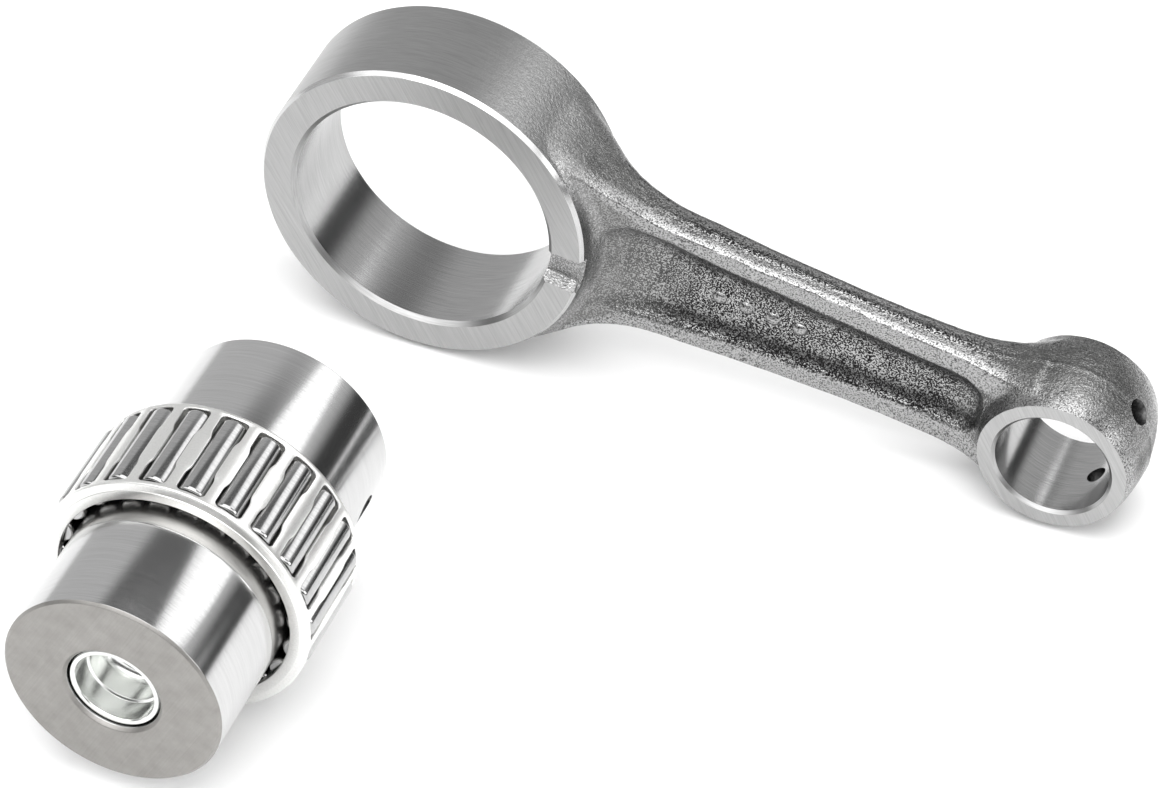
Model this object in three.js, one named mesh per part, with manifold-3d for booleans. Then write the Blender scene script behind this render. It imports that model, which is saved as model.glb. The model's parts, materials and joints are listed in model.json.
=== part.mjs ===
// Connecting rod kit for a single-cylinder engine: a one-piece forged rod, and beside it the crank pin
// with its two cup plugs and the caged needle bearing, drawn out along the axis of the big-end bore.
// Millimetres, +Z up. The kit stands on the plane z = 0, touching it with the near edges of both eyes
// and the near rim of the bearing cage. The origin is at the bottom centre of its bounding box.

import * as THREE from "three";
import { mergeVertices } from "three/addons/utils/BufferGeometryUtils.js";
import Module from "manifold-3d";

// ---- Driving dimensions, mm -------------------------------------------------------------------------

// Rod
const CENTRE_DISTANCE = 103.8;
const BIG_BORE_RADIUS = 21;
const BIG_EYE_RADIUS = 26.8;
const BIG_EYE_WIDTH = 18.5;
const SMALL_BORE_RADIUS = 9;
const SMALL_FACE_RADIUS = 11.8;
const SMALL_CROWN_RADIUS = 13.2;
const SMALL_EYE_WIDTH = 17.1;
const EDGE_CHAMFER = 0.5;
const BORE_CHAMFER = 0.7;

// Beam of the rod: an I-section with a pocket in each side
const BEAM_HALF_THICKNESS = 3;
const WEB_HALF_THICKNESS = 1.3;
const BEAM_WIDE_HALF_HEIGHT = 10.7;
const BEAM_NARROW_HALF_HEIGHT = 9.2;
const FLANGE_WIDTH = 2.6;
const POCKET_START = 23;
const POCKET_END = 91.3;
const POCKET_SHOULDER = 9;
const POCKET_CORNER = 3;

// Oil passages of the rod
const FACE_SLOT_WIDTH = 5.8;
const FACE_SLOT_DEPTH = 2;
const OIL_HOLE_RADIUS = 1.6;
const OIL_HOLE_ANGLE = 45;

// Crank pin and its plugs
const PIN_RADIUS = 16.5;
const PIN_LENGTH = 58;
const PIN_CHAMFER = 0.7;
const PIN_BORE_RADIUS = 7.1;
const PIN_BORE_CHAMFER = 0.6;
const FEED_HOLE_RADIUS = 2;
const FEED_HOLE_FROM_MIDDLE = 22;
const FEED_HOLE_ANGLE = -8;
const OUTLET_HOLE_RADIUS = 1.5;
const OUTLET_HOLE_ANGLE = 90;
const PLUG_RADIUS = 6.85;
const PLUG_WALL = 0.9;
const PLUG_LENGTH = 9;
const PLUG_RECESS = 0.8;
const PLUG_RIM_EDGE = 0.3;
const PLUG_END_CHAMFER = 0.8;
const PLUG_STEP_DEPTH = 2.6;
const PLUG_STEP = 0.5;
const PLUG_TAPER = 0.2;
const PLUG_FLOOR_CORNER = 1.3;

// Needle bearing
const ROLLER_COUNT = 22;
const ROLLER_RADIUS = 2.2;
const ROLLER_LENGTH = 15.3;
const ROLLER_PITCH_RADIUS = 18.75;
const ROLLER_EDGE = 0.35;
const FIRST_ROLLER_ANGLE = 9.5;
const CAGE_OUTER_RADIUS = 20.7;
const CAGE_INNER_RADIUS = 17.85;
const CAGE_WIDTH = 18.2;
const CAGE_CHAMFER = 0.35;
const WINDOW_CLEARANCE = 0.15;

// How far the pin and bearing are drawn out of the big-end bore, along -Y
const TRAVEL = 89.6;

// Facets of the curved surfaces
const BIG_EYE_SIDES = 80;
const SMALL_EYE_SIDES = 48;
const PIN_SIDES = 60;
const PLUG_SIDES = 28;
const ROLLER_SIDES = 14;
const DRILL_SIDES = 20;
const CAGE_SIDES_PER_WINDOW = 4;
const BEAM_SIDE_FACETS = 24;
const CROWN_FACETS = 6;
const CORNER_FACETS = 10;

// How far a cutting tool reaches past the surface that it cuts, and how far joined bodies overlap
const TOOL_OVERRUN = 2;
const JOIN_OVERLAP = 5;

// Points closer than this are one vertex
const MERGE_DISTANCE = 1e-4;

// ---- Small helpers ----------------------------------------------------------------------------------

const DEGREE = Math.PI / 180;
const wasm = await Module();
wasm.setup();

/** A manifold-3d solid from a closed three.js geometry. */
function solidFrom(geometry) {
  const bare = geometry.clone();
  bare.deleteAttribute("normal");
  bare.deleteAttribute("uv");
  const merged = mergeVertices(bare, MERGE_DISTANCE);
  return new wasm.Manifold(
    new wasm.Mesh({
      numProp: 3,
      vertProperties: new Float32Array(merged.attributes.position.array),
      triVerts: new Uint32Array(merged.index.array),
    }),
  );
}

/** The three.js geometry of a manifold-3d solid. */
function geometryFrom(solid) {
  const mesh = solid.getMesh();
  const geometry = new THREE.BufferGeometry();
  geometry.setAttribute("position", new THREE.Float32BufferAttribute(mesh.vertProperties, 3));
  geometry.setIndex(Array.from(mesh.triVerts));
  geometry.computeVertexNormals();
  return geometry;
}

/** A body turned about the Y axis. The profile is a list of [radius, y] that starts and ends on the axis. */
function turned(profile, segments) {
  return new THREE.LatheGeometry(
    profile.map(([radius, y]) => new THREE.Vector2(radius, y)),
    segments,
  );
}

/** A ring with chamfered corners, centred on the origin, its axis along Y. */
function ring(outer, inner, width, outerChamfer, innerChamfer, segments) {
  const half = width / 2;
  const start = [inner, -half + innerChamfer];
  return turned(
    [
      start,
      [inner + innerChamfer, -half],
      [outer - outerChamfer, -half],
      [outer, -half + outerChamfer],
      [outer, half - outerChamfer],
      [outer - outerChamfer, half],
      [inner + innerChamfer, half],
      [inner, half - innerChamfer],
      start,
    ],
    segments,
  );
}

/** A closed outline from a smooth curve through the given points and its mirror image below the X axis. */
function mirroredOutline(stations) {
  const curve = new THREE.SplineCurve(stations.map(([along, out]) => new THREE.Vector2(along, out)));
  const side = curve.getPoints(BEAM_SIDE_FACETS);
  const mirrored = side.map((point) => new THREE.Vector2(point.x, -point.y)).reverse();
  return new THREE.Shape([...side, ...mirrored]);
}

/** A plate whose outline is drawn in X and Z, running from y = from to y = to. */
function plateAlongY(outline, from, to) {
  const settings = { depth: to - from, bevelEnabled: false, curveSegments: CORNER_FACETS };
  const geometry = new THREE.ExtrudeGeometry(outline, settings);
  geometry.rotateX(Math.PI / 2);
  geometry.translate(0, to, 0);
  return geometry;
}

/** A plate whose outline is drawn in X and Y, centred on z = 0. */
function plateAlongZ(outline, height) {
  const geometry = new THREE.ExtrudeGeometry(outline, { depth: height, bevelEnabled: false });
  geometry.translate(0, 0, -height / 2);
  return geometry;
}

/** A round drill square to the Y axis, through a wall that lies between two radii. */
function radialDrill(radius, inner, outer, degrees) {
  const from = inner - TOOL_OVERRUN;
  const to = outer + TOOL_OVERRUN;
  const geometry = new THREE.CylinderGeometry(radius, radius, to - from, DRILL_SIDES);
  geometry.rotateZ(Math.PI / 2);
  geometry.translate((from + to) / 2, 0, 0);
  geometry.rotateY(-degrees * DEGREE);
  return geometry;
}

// ---- Connecting rod ---------------------------------------------------------------------------------

/** Outline of the beam in X and Z, from inside the big eye to inside the small one. */
function beamOutline() {
  return mirroredOutline([
    [14, 22.5],
    [21.5, 18.6],
    [27, 14.6],
    [34, 11.6],
    [44, BEAM_WIDE_HALF_HEIGHT],
    [62, 9.6],
    [84, BEAM_NARROW_HALF_HEIGHT],
    [91, 9.6],
    [98, 11.6],
  ]);
}

/** How thick the beam is along its length, as an outline in X and Y. */
function thicknessOutline() {
  return mirroredOutline([
    [14, 8.2],
    [24, 6.6],
    [29, 4.2],
    [36, 3.2],
    [46, BEAM_HALF_THICKNESS],
    [78, BEAM_HALF_THICKNESS],
    [87, 3.6],
    [93, 5.4],
    [98, 7.2],
  ]);
}

/** Outline of one beam pocket: wide and square-shouldered at the big end, round at the small end. */
function pocketOutline() {
  const wide = BEAM_WIDE_HALF_HEIGHT - FLANGE_WIDTH + 0.8;
  const narrow = BEAM_NARROW_HALF_HEIGHT - FLANGE_WIDTH - 0.6;
  const shoulder = POCKET_START + POCKET_SHOULDER;
  const bend = POCKET_START + POCKET_SHOULDER / 4;
  const corner = wide - POCKET_CORNER;
  const roundStart = POCKET_END - narrow;
  const outline = new THREE.Shape();
  outline.moveTo(POCKET_START, -corner);
  outline.quadraticCurveTo(bend, -wide, shoulder, -wide);
  outline.lineTo(roundStart, -narrow);
  outline.absarc(roundStart, 0, narrow, -Math.PI / 2, Math.PI / 2, false);
  outline.lineTo(shoulder, wide);
  outline.quadraticCurveTo(bend, wide, POCKET_START, corner);
  return outline;
}

/** The I-section beam, thicker towards both eyes. */
function beam() {
  const sideView = solidFrom(plateAlongY(beamOutline(), -BIG_EYE_WIDTH / 2, BIG_EYE_WIDTH / 2));
  const topView = solidFrom(plateAlongZ(thicknessOutline(), 2 * BIG_EYE_RADIUS));
  const nearPocket = solidFrom(plateAlongY(pocketOutline(), -BIG_EYE_WIDTH, -WEB_HALF_THICKNESS));
  const farPocket = solidFrom(plateAlongY(pocketOutline(), WEB_HALF_THICKNESS, BIG_EYE_WIDTH));
  return sideView.intersect(topView).subtract(nearPocket).subtract(farPocket);
}

/** Crowned barrel of the small eye, solid, centred on the origin. */
function smallEyeBarrel() {
  const half = SMALL_EYE_WIDTH / 2;
  const crown = SMALL_CROWN_RADIUS - SMALL_FACE_RADIUS;
  const profile = [[0, -half]];
  for (let step = 0; step <= CROWN_FACETS; step += 1) {
    const y = -half + (SMALL_EYE_WIDTH * step) / CROWN_FACETS;
    profile.push([SMALL_CROWN_RADIUS - crown * (y / half) ** 2, y]);
  }
  profile.push([0, half]);
  return turned(profile, SMALL_EYE_SIDES);
}

/** Solid tool for a plain bore with a chamfer at each mouth. */
function boreTool(radius, width, chamfer, segments) {
  const half = width / 2;
  const mouth = radius + chamfer + TOOL_OVERRUN;
  return turned(
    [
      [0, -half - TOOL_OVERRUN],
      [mouth, -half - TOOL_OVERRUN],
      [radius, -half + chamfer],
      [radius, half - chamfer],
      [mouth, half + TOOL_OVERRUN],
      [0, half + TOOL_OVERRUN],
    ],
    segments,
  );
}

/** The one-piece rod, with its big-end bore on the Y axis and its small end towards +X. */
function connectingRod() {
  const blankBore = BIG_BORE_RADIUS - JOIN_OVERLAP;
  const bigEye = solidFrom(ring(BIG_EYE_RADIUS, blankBore, BIG_EYE_WIDTH, EDGE_CHAMFER, 0, BIG_EYE_SIDES));
  const smallEye = solidFrom(smallEyeBarrel().translate(CENTRE_DISTANCE, 0, 0));
  let rod = beam().add(bigEye).add(smallEye);

  const bigBore = boreTool(BIG_BORE_RADIUS, BIG_EYE_WIDTH, BORE_CHAMFER, BIG_EYE_SIDES);
  const smallBore = boreTool(SMALL_BORE_RADIUS, SMALL_EYE_WIDTH, EDGE_CHAMFER, SMALL_EYE_SIDES);
  smallBore.translate(CENTRE_DISTANCE, 0, 0);
  rod = rod.subtract(solidFrom(bigBore)).subtract(solidFrom(smallBore));

  const slotStart = BIG_BORE_RADIUS - TOOL_OVERRUN;
  const slotEnd = BIG_EYE_RADIUS + TOOL_OVERRUN;
  for (const side of [-1, 1]) {
    const slot = new THREE.BoxGeometry(slotEnd - slotStart, 2 * FACE_SLOT_DEPTH, FACE_SLOT_WIDTH);
    slot.translate((slotStart + slotEnd) / 2, (side * BIG_EYE_WIDTH) / 2, 0);
    const hole = radialDrill(OIL_HOLE_RADIUS, SMALL_BORE_RADIUS, SMALL_CROWN_RADIUS, side * OIL_HOLE_ANGLE);
    hole.translate(CENTRE_DISTANCE, 0, 0);
    rod = rod.subtract(solidFrom(slot)).subtract(solidFrom(hole));
  }
  return geometryFrom(rod);
}

// ---- Crank pin and plugs ----------------------------------------------------------------------------

/** The hollow pin, centred on the origin, with its feed hole and the outlet hole under the rollers. */
function crankPin() {
  const body = ring(PIN_RADIUS, PIN_BORE_RADIUS, PIN_LENGTH, PIN_CHAMFER, PIN_BORE_CHAMFER, PIN_SIDES);
  const feed = radialDrill(FEED_HOLE_RADIUS, PIN_BORE_RADIUS, PIN_RADIUS, FEED_HOLE_ANGLE);
  feed.translate(0, FEED_HOLE_FROM_MIDDLE, 0);
  const outlet = radialDrill(OUTLET_HOLE_RADIUS, PIN_BORE_RADIUS, PIN_RADIUS, OUTLET_HOLE_ANGLE);
  return geometryFrom(solidFrom(body).subtract(solidFrom(feed)).subtract(solidFrom(outlet)));
}

/** A pressed cup with its rim towards -Y, at y = 0. */
function cupPlug() {
  const bore = PLUG_RADIUS - PLUG_WALL;
  const stepped = bore - PLUG_STEP;
  const tapered = stepped - PLUG_TAPER;
  const floor = PLUG_LENGTH - PLUG_WALL;
  return turned(
    [
      [0, floor],
      [tapered - PLUG_FLOOR_CORNER, floor],
      [tapered, floor - PLUG_FLOOR_CORNER / 2],
      [stepped, PLUG_STEP_DEPTH + PLUG_STEP],
      [bore, PLUG_STEP_DEPTH],
      [bore, 0],
      [PLUG_RADIUS - PLUG_RIM_EDGE, 0],
      [PLUG_RADIUS, PLUG_RIM_EDGE],
      [PLUG_RADIUS, PLUG_LENGTH - PLUG_END_CHAMFER],
      [PLUG_RADIUS - PLUG_END_CHAMFER, PLUG_LENGTH],
      [0, PLUG_LENGTH],
    ],
    PLUG_SIDES,
  );
}

// ---- Needle bearing ---------------------------------------------------------------------------------

/** One roller, centred on the origin, its axis along Y, with rounded ends. */
function roller() {
  const half = ROLLER_LENGTH / 2;
  return turned(
    [
      [0, -half],
      [ROLLER_RADIUS - ROLLER_EDGE, -half],
      [ROLLER_RADIUS, -half + ROLLER_EDGE],
      [ROLLER_RADIUS, half - ROLLER_EDGE],
      [ROLLER_RADIUS - ROLLER_EDGE, half],
      [0, half],
    ],
    ROLLER_SIDES,
  );
}

/** The angle of a roller about the bearing axis, from +X towards +Z, radians. */
function rollerAngle(index) {
  return FIRST_ROLLER_ANGLE * DEGREE + (index * 2 * Math.PI) / ROLLER_COUNT;
}

/** The one-piece cage: a ring with one window for each roller. */
function bearingCage() {
  const sides = CAGE_SIDES_PER_WINDOW * ROLLER_COUNT;
  const blank = ring(CAGE_OUTER_RADIUS, CAGE_INNER_RADIUS, CAGE_WIDTH, CAGE_CHAMFER, CAGE_CHAMFER, sides);
  const windowDepth = CAGE_OUTER_RADIUS - CAGE_INNER_RADIUS + 2 * TOOL_OVERRUN;
  const windowLength = ROLLER_LENGTH + 2 * WINDOW_CLEARANCE;
  const windowWidth = 2 * (ROLLER_RADIUS + WINDOW_CLEARANCE);
  let cage = solidFrom(blank);
  for (let index = 0; index < ROLLER_COUNT; index += 1) {
    const window = new THREE.BoxGeometry(windowDepth, windowLength, windowWidth);
    window.translate((CAGE_OUTER_RADIUS + CAGE_INNER_RADIUS) / 2, 0, 0);
    window.rotateY(-rollerAngle(index));
    cage = cage.subtract(solidFrom(window));
  }
  return geometryFrom(cage);
}

// ---- Materials --------------------------------------------------------------------------------------

const forgedSteel = new THREE.MeshStandardMaterial({ color: 0x8f8f8c, roughness: 0.45, metalness: 0.95 });
const groundSteel = new THREE.MeshStandardMaterial({ color: 0xb4b4b1, roughness: 0.25, metalness: 1 });
const zincPlate = new THREE.MeshStandardMaterial({ color: 0xc2c5c1, roughness: 0.3, metalness: 1 });
const silverPlate = new THREE.MeshStandardMaterial({ color: 0xdcdcd8, roughness: 0.4, metalness: 1 });
const rollerSteel = new THREE.MeshStandardMaterial({ color: 0x9c9c98, roughness: 0.15, metalness: 1 });

// ---- Assembly ---------------------------------------------------------------------------------------

function named(name, geometry, material) {
  const mesh = new THREE.Mesh(geometry, material);
  mesh.name = name;
  return mesh;
}

/** The pin, its plugs, the cage and the rollers, centred on the origin. */
function pinAndBearing() {
  const set = new THREE.Group();
  set.add(named("crank_pin", crankPin(), groundSteel));

  const plugGeometry = cupPlug();
  const nearPlug = named("near_cup_plug", plugGeometry, zincPlate);
  nearPlug.position.y = -PIN_LENGTH / 2 + PLUG_RECESS;
  const farPlug = named("far_cup_plug", plugGeometry, zincPlate);
  farPlug.position.y = PIN_LENGTH / 2 - PLUG_RECESS;
  farPlug.rotation.x = Math.PI;
  set.add(nearPlug, farPlug);

  set.add(named("bearing_cage", bearingCage(), silverPlate));
  const rollerGeometry = roller();
  for (let index = 0; index < ROLLER_COUNT; index += 1) {
    const angle = rollerAngle(index);
    const number = String(index + 1).padStart(2, "0");
    const mesh = named(`roller_${number}`, rollerGeometry, rollerSteel);
    mesh.position.set(ROLLER_PITCH_RADIUS * Math.cos(angle), 0, ROLLER_PITCH_RADIUS * Math.sin(angle));
    set.add(mesh);
  }
  return set;
}

/**
 * Tilts of the kit as it stands. The floor touches three circles whose axes are all along Y: the near
 * edge of the big eye, the near edge of the small eye, and the near rim of the cage.
 */
function standingTilts() {
  const bigEdge = { radius: BIG_EYE_RADIUS - EDGE_CHAMFER, y: -BIG_EYE_WIDTH / 2 };
  const smallEdge = { radius: SMALL_FACE_RADIUS, y: -SMALL_EYE_WIDTH / 2 };
  const cageEdge = { radius: CAGE_OUTER_RADIUS - CAGE_CHAMFER, y: -TRAVEL - CAGE_WIDTH / 2 };
  const lean = (bigEdge.radius - cageEdge.radius) / (bigEdge.y - cageEdge.y);
  const drop = bigEdge.radius - smallEdge.radius - lean * (bigEdge.y - smallEdge.y);
  return { lean: Math.atan(lean), slope: Math.asin(drop / CENTRE_DISTANCE) };
}

const bearingSet = pinAndBearing();
bearingSet.position.y = -TRAVEL;

const tilts = standingTilts();
const sloped = new THREE.Group();
sloped.rotation.y = tilts.slope;
sloped.add(named("connecting_rod", connectingRod(), forgedSteel), bearingSet);

const group = new THREE.Group();
group.rotation.x = tilts.lean;
group.add(sloped);

// Put the origin at the bottom centre of the bounding box.
group.updateMatrixWorld(true);
const box = new THREE.Box3().setFromObject(group, true);
group.position.set(-(box.min.x + box.max.x) / 2, -(box.min.y + box.max.y) / 2, -box.min.z);
group.updateMatrixWorld(true);

export default group;
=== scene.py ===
import json
import math

import bpy
import numpy as np
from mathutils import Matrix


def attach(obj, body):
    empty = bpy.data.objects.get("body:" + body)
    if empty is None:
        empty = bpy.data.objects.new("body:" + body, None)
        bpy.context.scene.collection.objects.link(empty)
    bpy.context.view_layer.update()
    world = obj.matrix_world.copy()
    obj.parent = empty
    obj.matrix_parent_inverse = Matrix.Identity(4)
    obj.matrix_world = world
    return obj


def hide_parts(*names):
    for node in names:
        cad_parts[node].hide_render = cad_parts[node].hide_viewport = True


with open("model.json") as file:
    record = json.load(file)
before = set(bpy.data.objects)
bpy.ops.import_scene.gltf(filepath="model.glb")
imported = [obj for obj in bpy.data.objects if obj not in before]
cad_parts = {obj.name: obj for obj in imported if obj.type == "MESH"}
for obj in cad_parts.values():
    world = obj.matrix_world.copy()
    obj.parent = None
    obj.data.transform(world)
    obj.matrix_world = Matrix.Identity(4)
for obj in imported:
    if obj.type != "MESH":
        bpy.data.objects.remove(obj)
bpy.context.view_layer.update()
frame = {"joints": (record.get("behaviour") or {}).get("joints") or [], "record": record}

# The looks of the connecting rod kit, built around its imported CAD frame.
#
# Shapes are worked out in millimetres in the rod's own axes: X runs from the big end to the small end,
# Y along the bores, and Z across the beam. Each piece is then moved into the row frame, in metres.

import openvdb
from mathutils import Matrix, Vector

MM = 0.001
ROLLERS = 22

# ---- Sizes, mm -------------------------------------------------------------

BIG_BORE = 21.0
BIG_EYE = 26.73
BIG_HALF_WIDTH = 9.25
SMALL_BORE = 9.0
SMALL_FACE = 11.7
SMALL_CROWN = 13.06
SMALL_HALF_WIDTH = 8.55
EDGE_CHAMFER = 0.5
BORE_CHAMFER = 0.7
OIL_HOLE = 1.6
OIL_HOLE_MOUTH = 2.15
OIL_HOLE_MOUTH_DEPTH = 0.9
OIL_HOLE_ANGLE = math.radians(45)
SLOT_HALF_WIDTH = 2.9
SLOT_DEPTH = 2.0
SLOT_ROUNDING = 1.1
SLOT_STEPS = 40
FACE_STOCK = 0.35
BORE_STOCK = 3

PIN_RADIUS = 16.5
PIN_HALF_LENGTH = 29.0
PIN_BORE = 7.1
FEED_HOLE = 2.0
FEED_HOLE_FROM_MIDDLE = 22.0
FEED_HOLE_ANGLE = math.radians(-8)
OUTLET_HOLE = 1.5
PLUG_RADIUS = 6.85
PLUG_WALL = 0.9
PLUG_LENGTH = 9.0
PLUG_RECESS = 0.8

ROLLER_RADIUS = 2.2
ROLLER_HALF_LENGTH = 7.65
ROLLER_PITCH = 18.75
FIRST_ROLLER_ANGLE = math.radians(9.5)
CAGE_OUTER = 20.7
CAGE_INNER = 17.85
CAGE_HALF_WIDTH = 9.1

VOXEL = 0.3
ROUND_SIDES = 256
HOLE_SIDES = 48
PLUG_SIDES = 160
ROLLER_SIDES = 64
CUTTER_OVERRUN = 3
FAR_AWAY = 1e3


# ---- Places, from the frame ------------------------------------------------


def opening_centre(name):
    """The middle of one of the record's openings, in metres."""
    for opening in frame["record"]["physics"]["openings"]:
        if opening["name"] == name:
            low, high = opening["box_m"]
            return (Vector(low) + Vector(high)) / 2
    raise ValueError(name)


def joint(name):
    return next(entry for entry in frame["joints"] if entry["name"] == name)


def places():
    """Matrices from the rod's and the pin's own millimetres into the row frame, and the centre distance."""
    big = opening_centre("big_end_bore")
    small = opening_centre("small_end_bore")
    along_bore = Vector(joint("bearing_insertion")["axis"]).normalized()
    along_rod = (small - big).normalized()
    across = along_rod.cross(along_bore).normalized()
    along_rod = along_bore.cross(across)
    turn = Matrix((along_rod, along_bore, across)).transposed().to_4x4()
    scale = Matrix.Scale(MM, 4)
    pin_middle = Vector(joint("crank_pin_spin")["pos_m"])
    rod = Matrix.Translation(big) @ turn @ scale
    pin = Matrix.Translation(pin_middle) @ turn @ scale
    return rod, pin, (small - big).length / MM


ROD_PLACE, PIN_PLACE, CENTRE_DISTANCE = places()


# ---- Mesh helpers ----------------------------------------------------------


def mesh_object(name, vertices, faces):
    """A new linked object from a list of points and a list of faces."""
    mesh = bpy.data.meshes.new(name)
    mesh.from_pydata([tuple(point) for point in vertices], [], [tuple(face) for face in faces])
    mesh.validate()
    mesh.update()
    piece = bpy.data.objects.new(name, mesh)
    bpy.context.scene.collection.objects.link(piece)
    return piece


def softened(corners, steps=4):
    """A profile with rounded corners. Each corner is (radius, y, rounding); a rounding of 0 stays sharp."""
    points = []
    count = len(corners)
    for index, (radius, y, rounding) in enumerate(corners):
        here = np.array([radius, y])
        if rounding == 0:
            points.append((radius, y))
            continue
        before = np.array(corners[index - 1][:2]) - here
        after = np.array(corners[(index + 1) % count][:2]) - here
        before /= np.linalg.norm(before)
        after /= np.linalg.norm(after)
        half_angle = math.acos(np.clip(before @ after, -1, 1)) / 2
        setback = rounding / math.tan(half_angle)
        centre = here + (before + after) / np.linalg.norm(before + after) * rounding / math.sin(half_angle)
        start = here + before * setback - centre
        end = here + after * setback - centre
        for step in range(steps + 1):
            share = step / steps
            arm = start * (1 - share) + end * share
            arm *= rounding / np.linalg.norm(arm)
            points.append(tuple(centre + arm))
    return points


def turned(name, profile, sides, closed):
    """A body turned about Y from (radius, y) points. An open profile has to start and end on the axis."""
    vertices = []
    rings = []
    for radius, y in profile:
        if radius < 1e-6:
            rings.append([len(vertices)] * sides)
            vertices.append((0.0, y, 0.0))
            continue
        rings.append(list(range(len(vertices), len(vertices) + sides)))
        for side in range(sides):
            angle = 2 * math.pi * side / sides
            vertices.append((radius * math.cos(angle), y, radius * math.sin(angle)))
    pairs = list(zip(rings, rings[1:]))
    if closed:
        pairs.append((rings[-1], rings[0]))
    faces = []
    for lower, upper in pairs:
        for side in range(sides):
            after = (side + 1) % sides
            loop = [lower[side], upper[side], upper[after], lower[after]]
            face = list(dict.fromkeys(loop))
            if len(face) > 2:
                faces.append(face)
    piece = mesh_object(name, vertices, faces)
    face_outwards(piece)
    return piece


def face_outwards(piece):
    """Turns a closed mesh's faces outwards, by the sign of its volume."""
    mesh = piece.data
    mesh.calc_loop_triangles()
    corners = np.empty(len(mesh.loop_triangles) * 3, np.int32)
    mesh.loop_triangles.foreach_get("vertices", corners)
    points = vertex_array(mesh)[corners].reshape(-1, 3, 3)
    volume = np.einsum("ij,ij->i", points[:, 0], np.cross(points[:, 1], points[:, 2])).sum()
    if volume < 0:
        mesh.flip_normals()


def vertex_array(mesh):
    flat = np.empty(len(mesh.vertices) * 3, np.float32)
    mesh.vertices.foreach_get("co", flat)
    return flat.reshape(-1, 3).astype(float)


def apply_modifiers(piece):
    evaluated = piece.evaluated_get(bpy.context.evaluated_depsgraph_get())
    finished = bpy.data.meshes.new_from_object(evaluated)
    piece.modifiers.clear()
    piece.data = finished


def cut_away(body, cutters):
    """Cuts each closed cutter out of a closed mesh, and removes the cutters."""
    for cutter in cutters:
        step = body.modifiers.new("cut", "BOOLEAN")
        step.solver = "MANIFOLD"
        step.operation = "DIFFERENCE"
        step.object = cutter
    apply_modifiers(body)
    for cutter in cutters:
        bpy.data.objects.remove(cutter)


def drill(radius, start, end, mouth, mouth_depth):
    """A round cutter from start to end. It widens by mouth over mouth_depth, ending short of its end."""
    start = Vector(start)
    end = Vector(end)
    length = (end - start).length
    mouth_end = length - CUTTER_OVERRUN
    profile = [
        (0, 0),
        (radius, 0),
        (radius, length - CUTTER_OVERRUN - mouth_depth),
        (radius + mouth, mouth_end),
        (radius + mouth, length),
        (0, length),
    ]
    cutter = turned("drill", profile, HOLE_SIDES, closed=False)
    turn = Vector((0, 1, 0)).rotation_difference(end - start).to_matrix().to_4x4()
    cutter.data.transform(Matrix.Translation(start) @ turn)
    return cutter


def store_values(mesh, name, values):
    """Gives each point a number that the materials can read by name."""
    layer = mesh.attributes.new(name, "FLOAT", "POINT")
    layer.data.foreach_set("value", np.asarray(values, np.float32))


def place(piece, matrix, body, replaced, sharp_degrees=30):
    """Stores each point's own millimetres for the materials, then moves the piece into the row frame."""
    mesh = piece.data
    own = mesh.attributes.new("part_mm", "FLOAT_VECTOR", "POINT")
    own.data.foreach_set("vector", vertex_array(mesh).astype(np.float32).ravel())
    mesh.transform(matrix)
    mesh.polygons.foreach_set("use_smooth", [True] * len(mesh.polygons))
    mesh.set_sharp_from_angle(angle=math.radians(sharp_degrees))
    mesh.update()
    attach(piece, body)
    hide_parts(replaced)
    return piece


def value_noise(points, cell, seed):
    """Smooth seeded random values in -1..1 at each point, blended from the corners of a cubic lattice."""
    size = 64
    lattice = np.random.default_rng(seed).uniform(-1, 1, (size, size, size))
    scaled = points / cell
    base = np.floor(scaled).astype(int)
    part = scaled - base
    part = part * part * (3 - 2 * part)
    total = np.zeros(len(points))
    for corner in np.ndindex(2, 2, 2):
        index = (base + corner) % size
        weight = np.prod(np.where(np.array(corner) == 1, part, 1 - part), axis=1)
        total += weight * lattice[index[:, 0], index[:, 1], index[:, 2]]
    return total


# ---- The forging as a distance field ---------------------------------------


def smooth_union(a, b, reach):
    blend = np.clip(reach - np.abs(a - b), 0, None) / reach
    return np.minimum(a, b) - blend * blend * reach / 4


def smooth_overlap(a, b, reach):
    return -smooth_union(-a, -b, reach)


def through(x, stations):
    """A smooth curve through (x, value) stations, held level beyond both ends."""
    knots, values = np.array(stations, float).T
    slopes = np.gradient(values, knots)
    x = np.clip(x, knots[0], knots[-1])
    index = np.clip(np.searchsorted(knots, x, side="right") - 1, 0, len(knots) - 2)
    gap = knots[index + 1] - knots[index]
    share = (x - knots[index]) / gap
    squared = share * share
    cubed = squared * share
    return (
        values[index] * (2 * cubed - 3 * squared + 1)
        + slopes[index] * gap * (cubed - 2 * squared + share)
        + values[index + 1] * (3 * squared - 2 * cubed)
        + slopes[index + 1] * gap * (cubed - squared)
    )


# Half sizes of the beam and its pockets, as (x, value) stations.
BEAM_HALF_HEIGHT = [
    (14, 19.6), (18, 19.8), (21.5, 18.4), (27, 14.6), (34, 11.8),
    (44, 10.75), (62, 9.75), (84, 9.25), (91, 9.6), (98, 11.6),
]
BEAM_HALF_THICKNESS = [
    (14, 7.6), (24, 5.9), (29, 4.1), (36, 3.3), (46, 3.0), (78, 2.9), (87, 3.4), (93, 4.8), (99, 6.2),
]
POCKET_HALF_HEIGHT = [
    (24, 8.4), (30, 9.2), (34, 9.1), (39, 8.6), (46, 7.9), (55, 7.4), (63, 6.9), (75, 6.2), (88, 5.6),
]
BEAM_START = 14.5
BEAM_END_OVERLAP = 7
POCKET_DRAFT = 0.16
POCKET_FLOOR_ROUNDING = 5.0
PARTING_RIDGE = 0.13
PARTING_RIDGE_WIDTH = 0.42
POCKET_START = 26.0
POCKET_END = 91.3
POCKET_CORNER = 5.0
WEB_HALF_THICKNESS = 1.1
FLANGE_CORNER = 0.15
SIDE_CROWN = 0.165
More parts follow.
